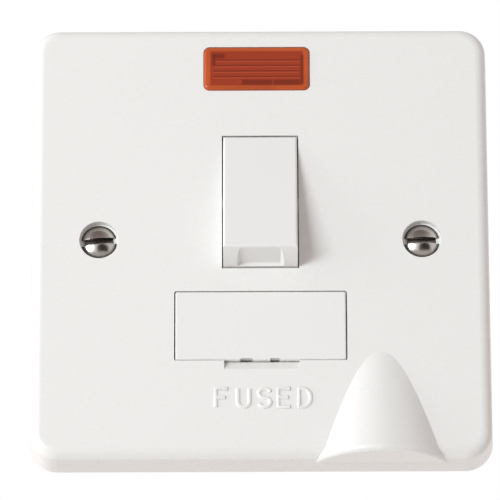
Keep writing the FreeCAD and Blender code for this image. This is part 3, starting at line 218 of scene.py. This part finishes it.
def noise(nodes, links, scale, detail=3.0, stretch=(1.0, 1.0, 1.0)):
    """A noise texture fixed to the object, its scale in cycles per metre."""
    place = nodes.new("ShaderNodeTexCoord")
    mapping = nodes.new("ShaderNodeMapping")
    mapping.inputs["Scale"].default_value = stretch
    texture = nodes.new("ShaderNodeTexNoise")
    texture.inputs["Scale"].default_value = scale
    texture.inputs["Detail"].default_value = detail
    links.new(place.outputs["Object"], mapping.inputs["Vector"])
    links.new(mapping.outputs["Vector"], texture.inputs["Vector"])
    return texture.outputs["Fac"]


def tint(nodes, links, factor, dark, light, stretch=TINT_STRETCH):
    """A colour between two, as a value goes from the low to the high end of a stretch."""
    ramp = nodes.new("ShaderNodeValToRGB")
    for stop, position, colour in zip(ramp.color_ramp.elements, stretch, (dark, light)):
        stop.position = position
        stop.color = (*colour, 1.0)
    links.new(factor, ramp.inputs["Fac"])
    return ramp.outputs["Color"]


def between(nodes, links, factor, low, high):
    """A roughness between two."""
    span = nodes.new("ShaderNodeMapRange")
    span.inputs["From Min"].default_value = GLOSS_STRETCH[0]
    span.inputs["From Max"].default_value = GLOSS_STRETCH[1]
    span.inputs["To Min"].default_value = low
    span.inputs["To Max"].default_value = high
    links.new(factor, span.inputs["Value"])
    return span.outputs["Result"]


def bumped(nodes, links, factor, depth):
    bump = nodes.new("ShaderNodeBump")
    bump.inputs["Strength"].default_value = 1.0
    bump.inputs["Distance"].default_value = depth
    links.new(factor, bump.inputs["Height"])
    return bump.outputs["Normal"]


def multiplied(nodes, links, first, second):
    """Two colours multiplied; each is a socket, or a fixed colour for the first."""
    node = nodes.new("ShaderNodeVectorMath")
    node.operation = "MULTIPLY"
    if isinstance(first, tuple):
        node.inputs[0].default_value = first
    else:
        links.new(first, node.inputs[0])
    links.new(second, node.inputs[1])
    return node.outputs["Vector"]


def moulding(name, dark, light, rough=(0.26, 0.29), grain=700.0, depth=4e-6, coat=0.25):
    """Moulded plastic: a faint mottle, a slightly uneven gloss and a very fine orange peel."""
    material, nodes, links = shader(name)
    body = nodes["Principled BSDF"]
    body.inputs["IOR"].default_value = 1.5
    body.inputs["Coat Weight"].default_value = coat
    body.inputs["Coat Roughness"].default_value = 0.12
    mottle = noise(nodes, links, MOULDING_MOTTLE)
    gloss = noise(nodes, links, MOULDING_GLOSS)
    peel = noise(nodes, links, grain, detail=4.0)
    links.new(tint(nodes, links, mottle, dark, light), body.inputs["Base Color"])
    links.new(between(nodes, links, gloss, *rough), body.inputs["Roughness"])
    links.new(bumped(nodes, links, peel, depth), body.inputs["Normal"])
    return material


def metal(name, dark, light, rough=(0.2, 0.34), grain=900.0, stretch=(1.0, 1.0, 1.0), depth=3e-6):
    """Plated or rolled metal with faint marks from its making, with painted shade in its slots and
    corners.
    """
    material, nodes, links = shader(name)
    body = nodes["Principled BSDF"]
    body.inputs["Metallic"].default_value = 1.0
    metal_tone = tint(nodes, links, noise(nodes, links, METAL_MOTTLE, detail=5.0), dark, light)
    # Painted shade: ambient occlusion darkens the base colour in slots, corners and other hollows
    hidden = nodes.new("ShaderNodeAmbientOcclusion")
    hidden.inputs["Distance"].default_value = SLOT_REACH
    slot_shade = tint(nodes, links, hidden.outputs["AO"], SLOT_SHADE_COLOUR, WHITE, SLOT_OPENNESS)
    links.new(multiplied(nodes, links, metal_tone, slot_shade), body.inputs["Base Color"])
    marks = noise(nodes, links, grain, 6.0, stretch)
    links.new(between(nodes, links, marks, *rough), body.inputs["Roughness"])
    links.new(bumped(nodes, links, marks, depth), body.inputs["Normal"])
    return material


def clear(name, dark, light, share, rough):
    """A clear moulding or glass, tinted, with a slight mottle."""
    material, nodes, links = shader(name)
    body = nodes["Principled BSDF"]
    body.inputs["IOR"].default_value = 1.49
    body.inputs["Transmission Weight"].default_value = share
    mottle = noise(nodes, links, CLEAR_MOTTLE)
    gloss = noise(nodes, links, CLEAR_GLOSS)
    links.new(tint(nodes, links, mottle, dark, light), body.inputs["Base Color"])
    links.new(between(nodes, links, gloss, *rough), body.inputs["Roughness"])
    return material


def both(nodes, links, first, second):
    """The overlap of two masks."""
    node = nodes.new("ShaderNodeMath")
    node.operation = "MULTIPLY"
    links.new(first, node.inputs[0])
    links.new(second, node.inputs[1])
    return node.outputs["Value"]


def window(nodes, links, value, low, high, soft):
    """1 where a value lies between two limits, with soft ends."""
    offset = nodes.new("ShaderNodeMath")
    offset.operation = "SUBTRACT"
    offset.inputs[1].default_value = (low + high) / 2
    links.new(value, offset.inputs[0])
    away = nodes.new("ShaderNodeMath")
    away.operation = "ABSOLUTE"
    links.new(offset.outputs["Value"], away.inputs[0])
    span = nodes.new("ShaderNodeMapRange")
    span.interpolation_type = "SMOOTHSTEP"
    half = (high - low) / 2
    span.inputs["From Min"].default_value = half + soft
    span.inputs["From Max"].default_value = half - soft
    links.new(away.outputs["Value"], span.inputs["Value"])
    return span.outputs["Result"]


def painted(nodes, links, below, colour, mask, share=1.0):
    """A colour laid over another where a mask is set."""
    strength = nodes.new("ShaderNodeMath")
    strength.operation = "MULTIPLY"
    strength.inputs[1].default_value = share
    links.new(mask, strength.inputs[0])
    mix = nodes.new("ShaderNodeMix")
    mix.data_type = "RGBA"
    mix.inputs[MIX_ABOVE].default_value = (*colour, 1.0)
    links.new(strength.outputs["Value"], mix.inputs[MIX_SHARE])
    links.new(below, mix.inputs[MIX_BELOW])
    return mix.outputs[MIX_RESULT]


def lens_plastic(name):
    """Cloudy amber moulding: an orange border round the redder, grooved middle, each groove drawn as a
    painted shade line and a painted highlight line, with painted shadows of the parts behind it.
    """
    material, nodes, links = shader(name)
    body = nodes["Principled BSDF"]
    body.inputs["IOR"].default_value = 1.45
    body.inputs["Transmission Weight"].default_value = 0.15
    place = nodes.new("ShaderNodeTexCoord")
    axes = nodes.new("ShaderNodeSeparateXYZ")
    links.new(place.outputs["Object"], axes.inputs["Vector"])
    x, z = axes.outputs["X"], axes.outputs["Z"]
    left, right = LENS_MIDDLE.x - LENS_WIDTH / 2, LENS_MIDDLE.x + LENS_WIDTH / 2
    foot, head = LENS_MIDDLE.z - LENS_HEIGHT / 2, LENS_MIDDLE.z + LENS_HEIGHT / 2

    across = window(nodes, links, x, left + LENS_SIDE, right - LENS_SIDE, LENS_BLUR)
    up = window(nodes, links, z, foot + LENS_TOP, head - LENS_TOP, LENS_BLUR)
    rim = tint(nodes, links, noise(nodes, links, LENS_MOTTLE), LENS_RIM_DIM, LENS_RIM)
    colour = painted(nodes, links, rim, LENS_ORANGE, both(nodes, links, across, up))

    inset = LENS_SIDE + LENS_INSET
    across = window(nodes, links, x, left + inset, right - inset, LENS_BLUR)
    half = LENS_GROOVE * LENS_HEIGHT
    # Painted shade and painted highlight: a dark and a light line along each groove
    for share in LENS_GROOVES:
        for shift, shade, strength in GROOVE_SHADE_AND_HIGHLIGHT:
            middle = foot + (share + shift) * LENS_HEIGHT
            line = window(nodes, links, z, middle - half, middle + half, half * GROOVE_BLUR)
            colour = painted(nodes, links, colour, shade, both(nodes, links, across, line), strength)

    # Painted shadows of the parts behind the lens
    for (near, far), (low, high) in LENS_SHADOWS:
        across = window(nodes, links, x, near, far, 2 * LENS_BLUR)
        up = window(nodes, links, z, low, high, 2 * LENS_BLUR)
        mask = both(nodes, links, across, up)
        colour = painted(nodes, links, colour, LENS_SHADE, mask, LENS_SHADOW_SHARE)

    gloss = noise(nodes, links, CLEAR_GLOSS)
    links.new(colour, body.inputs["Base Color"])
    links.new(between(nodes, links, gloss, 0.08, 0.14), body.inputs["Roughness"])
    return material


MATERIALS = {
    "white_moulding": moulding("white_moulding", (0.808, 0.802, 0.79), (0.811, 0.805, 0.793)),
    "rocker_white": moulding(
        "rocker_white", (0.812, 0.806, 0.796), (0.815, 0.809, 0.799), rough=(0.23, 0.25)
    ),
    "carrier_white": moulding(
        "carrier_white", (0.808, 0.802, 0.792), (0.811, 0.805, 0.795), rough=(0.25, 0.28)
    ),
    "housing_moulding": moulding(
        "housing_moulding", (0.70, 0.69, 0.66), (0.73, 0.72, 0.69),
        rough=(0.42, 0.55), grain=900.0, depth=8e-6, coat=0.0,
    ),
    "black_moulding": moulding(
        "black_moulding", (0.012, 0.012, 0.012), (0.02, 0.02, 0.02),
        rough=(0.35, 0.45), grain=900.0, coat=0.0,
    ),
    "fuse_ceramic": moulding(
        "fuse_ceramic", (0.72, 0.68, 0.60), (0.79, 0.76, 0.69),
        rough=(0.5, 0.65), grain=1500.0, depth=1e-5, coat=0.0,
    ),
    "resistor_body": moulding(
        "resistor_body", (0.50, 0.36, 0.20), (0.58, 0.43, 0.25),
        rough=(0.35, 0.45), grain=900.0, depth=6e-6, coat=0.2,
    ),
    "lead_sleeve": moulding(
        "lead_sleeve", (0.42, 0.02, 0.012), (0.50, 0.03, 0.018),
        rough=(0.35, 0.45), grain=900.0, coat=0.1,
    ),
    "nickel_screw": metal("nickel_screw", (0.55, 0.53, 0.50), (0.70, 0.68, 0.64), (0.12, 0.24)),
    "plated_steel": metal("plated_steel", (0.42, 0.42, 0.40), (0.58, 0.57, 0.54), (0.28, 0.42)),
    "spring_steel": metal("spring_steel", (0.40, 0.40, 0.41), (0.52, 0.52, 0.53), (0.2, 0.3)),
    "terminal_brass": metal("terminal_brass", (0.55, 0.38, 0.13), (0.73, 0.55, 0.23), (0.22, 0.38)),
    "silver": metal("silver", (0.68, 0.67, 0.64), (0.80, 0.79, 0.77), (0.3, 0.42)),
    "fuse_cap": metal("fuse_cap", (0.56, 0.54, 0.48), (0.68, 0.66, 0.60), (0.2, 0.34)),
    "bronze_strip": metal(
        "bronze_strip", (0.52, 0.29, 0.13), (0.68, 0.42, 0.21), (0.25, 0.4),
        grain=700.0, stretch=(0.1, 1.0, 1.0),
    ),
    "copper_strip": metal(
        "copper_strip", (0.60, 0.25, 0.14), (0.76, 0.38, 0.23), (0.25, 0.4),
        grain=700.0, stretch=(1.0, 1.0, 0.1),
    ),
    "amber_lens": lens_plastic("amber_lens"),
    "lamp_glass": clear("lamp_glass", (0.85, 0.82, 0.78), (0.92, 0.90, 0.87), 0.9, (0.03, 0.06)),
}


def dress_frame():
    """Gives every CAD node the material of its slot."""
    for row in frame["record"]["subparts"]:
        obj = frame["nodes"][row["node"]]
        obj.data.materials.clear()
        obj.data.materials.append(MATERIALS[row["material_slot"]])


def take_slot(obj, slot, body):
    """Gives a piece made here its material, its slot and the body that it rides."""
    obj.data.materials.clear()
    obj.data.materials.append(MATERIALS[slot])
    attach(obj, body)
    return obj


# The raised word

def arc(x, z, rx, rz, start, stop):
    """Points along part of an ellipse, angles in degrees from the right, turning up."""
    points = []
    for i in range(ARC_STEPS + 1):
        a = math.radians(start + (stop - start) * i / ARC_STEPS)
        points.append((x + rx * math.cos(a), z + rz * math.sin(a)))
    return points


def letter_strokes(letter, w, h):
    """The middle lines of a capital's strokes, from its lower left corner."""
    bar = BAR_HEIGHT * h
    if letter == "F":
        return [[(w, h), (0, h), (0, 0)], [(0, bar), (F_ARM * w, bar)]]
    if letter == "U":
        return [[(0, h), *arc(w / 2, w / 2, w / 2, w / 2, 180, 360), (w, h)]]
    if letter == "S":
        upper = arc(w / 2, 3 * h / 4, w / 2, h / 4, S_END, 270)
        lower = arc(w / 2, h / 4, w / 2, h / 4, 90, S_END - 180)
        return [upper + lower[1:]]
    if letter == "E":
        return [[(w, h), (0, h), (0, 0), (w, 0)], [(0, bar), (E_ARM * w, bar)]]
    bow = arc(D_STRAIGHT * w, h / 2, (1 - D_STRAIGHT) * w, h / 2, 90, -90)
    return [[(0, 0), (0, h), *bow, (0, 0)]]


def raised_word():
    """Round strokes half sunk in the face of the plate."""
    curve = bpy.data.curves.new("word_fused", "CURVE")
    curve.dimensions = "3D"
    curve.bevel_depth = STROKE_R
    curve.bevel_resolution = STROKE_STEPS
    curve.use_fill_caps = True
    w, h = LETTER_WIDTH - 2 * STROKE_R, LETTER_HEIGHT - 2 * STROKE_R
    for letter, left in zip(WORD, WORD_LEFT):
        for points in letter_strokes(letter, w, h):
            line = curve.splines.new("POLY")
            line.points.add(len(points) - 1)
            for point, (x, z) in zip(line.points, points):
                place = (left + STROKE_R + x, FACE_Y + STROKE_SUNK, WORD_FOOT + STROKE_R + z)
                point.co = (*place, 1.0)
    return applied(link(bpy.data.objects.new("word_fused", curve)))


# Fixing screws, turned about the y axis, their heads to the front

def thread_radius(y, angle, tip):
    """Radius of the threaded shank at a depth and an angle about the axis."""
    wave = abs(((y / SCREW_PITCH - angle / (2 * math.pi)) % 1.0) * 2 - 1)
    crest = SCREW_CREST_R - max(0.0, y - (tip - SCREW_POINT)) * SCREW_POINT_TAPER
    return min(SCREW_ROOT_R + (SCREW_CREST_R - SCREW_ROOT_R) * wave, crest)


def steady(radius):
    return lambda angle: radius


def lathe(rings, sides):
    """A closed skin over rings of (depth, radius function of the angle)."""
    bm = bmesh.new()
    rows = []
    for y, radius in rings:
        row = []
        for i in range(sides):
            a = 2 * math.pi * i / sides
            r = radius(a)
            row.append(bm.verts.new((r * math.cos(a), y, r * math.sin(a))))
        rows.append(row)
    for low, high in zip(rows, rows[1:]):
        for i in range(sides):
            j = (i + 1) % sides
            bm.faces.new((low[i], low[j], high[j], high[i]))
    bm.faces.new(rows[0][::-1])
    bm.faces.new(rows[-1])
    bmesh.ops.recalc_face_normals(bm, faces=bm.faces)
    return bm


def head_blank(rim, top):
    """Domed countersunk head without its slot, on a neck."""
    sphere_r = (SCREW_HEAD_R ** 2 + SCREW_DOME ** 2) / (2 * SCREW_DOME)
    centre = top + sphere_r
    rings = []
    for i in range(DOME_RINGS + 1):
        r = SCREW_HEAD_R * (DOME_START + (1 - DOME_START) * i / DOME_RINGS)
        rings.append((centre - math.sqrt(sphere_r ** 2 - r ** 2), steady(r)))
    rings.append((rim - SCREW_EDGE_BACK, steady(SCREW_HEAD_R - SCREW_EDGE_IN)))
    rings.append((rim, steady(SCREW_SEAT_R)))
    rings.append((rim + SCREW_SEAT_R - SCREW_NECK_R, steady(SCREW_NECK_R)))
    rings.append((0.0, steady(SCREW_NECK_R)))
    return mesh_object("screw_head", lathe(rings, HEAD_SIDES))


def slot_cutter(top, turn):
    depth = SCREW_SLOT_DEPTH + CUTTER_SPARE
    bm = bmesh.new()
    bmesh.ops.create_cube(bm, size=1.0)
    bmesh.ops.scale(bm, vec=(3 * SCREW_HEAD_R, depth, SCREW_SLOT_WIDTH), verts=bm.verts)
    bmesh.ops.rotate(bm, matrix=Matrix.Rotation(turn, 3, "Y"), verts=bm.verts)
    bmesh.ops.translate(bm, vec=(0, top + SCREW_SLOT_DEPTH - depth / 2, 0), verts=bm.verts)
    return mesh_object("screw_slot", bm)


def screw_head(rim, turn):
    """Domed countersunk head with its slot, its edges eased."""
    top = rim - SCREW_EDGE - SCREW_DOME
    head = head_blank(rim, top)
    cutter = slot_cutter(top, turn)
    cut = head.modifiers.new("slot", "BOOLEAN")
    cut.operation = "DIFFERENCE"
    cut.solver = "EXACT"
    cut.object = cutter
    ease = head.modifiers.new("ease", "BEVEL")
    ease.width = SCREW_EASE
    ease.segments = 2
    ease.limit_method = "ANGLE"
    ease.angle_limit = SCREW_EASE_ANGLE
    bpy.context.view_layer.update()
    solid = applied(head)
    bpy.data.objects.remove(cutter)
    return solid


def screw_thread(tip):
    rings = []
    count = round(tip / SCREW_PITCH * THREAD_RINGS)
    for i in range(count + 1):
        y = tip * i / count
        rings.append((y, lambda a, y=y: thread_radius(y, a, tip)))
    return mesh_object("screw_thread", lathe(rings, THREAD_SIDES))


def fixing_screw(side):
    """Head and thread as one piece, to the left (-1) or the right (1)."""
    rim = SCREW_LOW.y + SCREW_SINK
    head = screw_head(rim, SCREW_SLOT_TURNS[side])
    thread = screw_thread(SCREW_HIGH.y)
    bm = bmesh.new()
    for part in (head, thread):
        bm.from_mesh(part.data)
        bpy.data.objects.remove(part)
    bmesh.ops.translate(bm, vec=(side * SCREW_X, 0, 0), verts=bm.verts)
    name = "fixing_screw_right" if side > 0 else "fixing_screw_left"
    screw = smooth(mesh_object(name, bm))
    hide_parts("fixing_screws")
    return take_slot(screw, "nickel_screw", "casing")


# Camera, lights and floor

def make_camera():
    data = bpy.data.cameras.new("camera")
    data.sensor_width = CAMERA_SENSOR
    data.lens = CAMERA_LENS
    data.shift_x, data.shift_y = CAMERA_SHIFT
    camera = link(bpy.data.objects.new("camera", data))
    away = Vector((0, -math.cos(CAMERA_TILT), -math.sin(CAMERA_TILT)))
    camera.location = away * CAMERA_DISTANCE
    aim = Matrix.Rotation(math.radians(90) + CAMERA_TILT, 3, "X") @ Matrix.Rotation(CAMERA_ROLL, 3, "Z")
    camera.rotation_euler = aim.to_euler()
    bpy.context.scene.camera = camera


def softbox(name, towards, distance, size, power, colour):
    """An area light at a distance, facing the middle of the plate, that the camera can't see."""
    data = bpy.data.lights.new(name, "AREA")
    data.shape = "RECTANGLE"
    data.size, data.size_y = size
    data.energy = power
    data.color = colour
    lamp = link(bpy.data.objects.new(name, data))
    direction = Vector(towards).normalized()
    lamp.location = direction * distance
    lamp.rotation_euler = direction.to_track_quat("Z", "Y").to_euler()
    lamp.visible_camera = False
    lamp.visible_glossy = name not in NOT_MIRRORED


def studio_walls(nodes, links):
    """Pale walls, darker where the photographer stands and in the room above."""
    place = nodes.new("ShaderNodeTexCoord")
    colour = WALL_COLOUR
    for direction, half, blur, shade in DARK_PLACES:
        towards = nodes.new("ShaderNodeVectorMath")
        towards.operation = "DOT_PRODUCT"
        towards.inputs[1].default_value = Vector(direction).normalized()
        links.new(place.outputs["Generated"], towards.inputs[0])
        edge_and_core = (math.cos(half + blur), math.cos(half))
        shaded = tint(nodes, links, towards.outputs["Value"], WHITE, shade, edge_and_core)
        colour = multiplied(nodes, links, colour, shaded)
    return colour


def make_world():
    """Light from the studio walls, and plain white where the camera looks past the unit."""
    world = bpy.data.worlds.new("studio")
    world.use_nodes = True
    nodes, links = world.node_tree.nodes, world.node_tree.links
    seen = nodes["Background"]
    seen.inputs["Color"].default_value = (*WHITE, 1.0)
    seen.inputs["Strength"].default_value = 1.0
    light = nodes.new("ShaderNodeBackground")
    light.inputs["Strength"].default_value = WALL_LIGHT
    links.new(studio_walls(nodes, links), light.inputs["Color"])
    path = nodes.new("ShaderNodeLightPath")
    mix = nodes.new("ShaderNodeMixShader")
    links.new(path.outputs["Is Camera Ray"], mix.inputs["Fac"])
    links.new(light.outputs["Background"], mix.inputs[1])
    links.new(seen.outputs["Background"], mix.inputs[2])
    links.new(mix.outputs["Shader"], nodes["World Output"].inputs["Surface"])
    bpy.context.scene.world = world


def make_floor():
    bm = bmesh.new()
    bmesh.ops.create_grid(bm, x_segments=FLOOR_PARTS, y_segments=FLOOR_PARTS, size=FLOOR_HALF)
    floor = mesh_object("floor", bm)
    floor.location.z = FLOOR_Z
    paint = moulding("floor_paint", (0.86, 0.86, 0.86), (0.865, 0.865, 0.865), rough=(0.6, 0.62))
    floor.data.materials.append(paint)


make_camera()
for name, settings in SOFTBOXES.items():
    softbox(name, *settings)
make_world()
make_floor()
dress_frame()
take_slot(smooth(raised_word()), "white_moulding", "casing")
for side in (-1, 1):
    fixing_screw(side)

bpy.context.scene.view_settings.view_transform = "Standard"
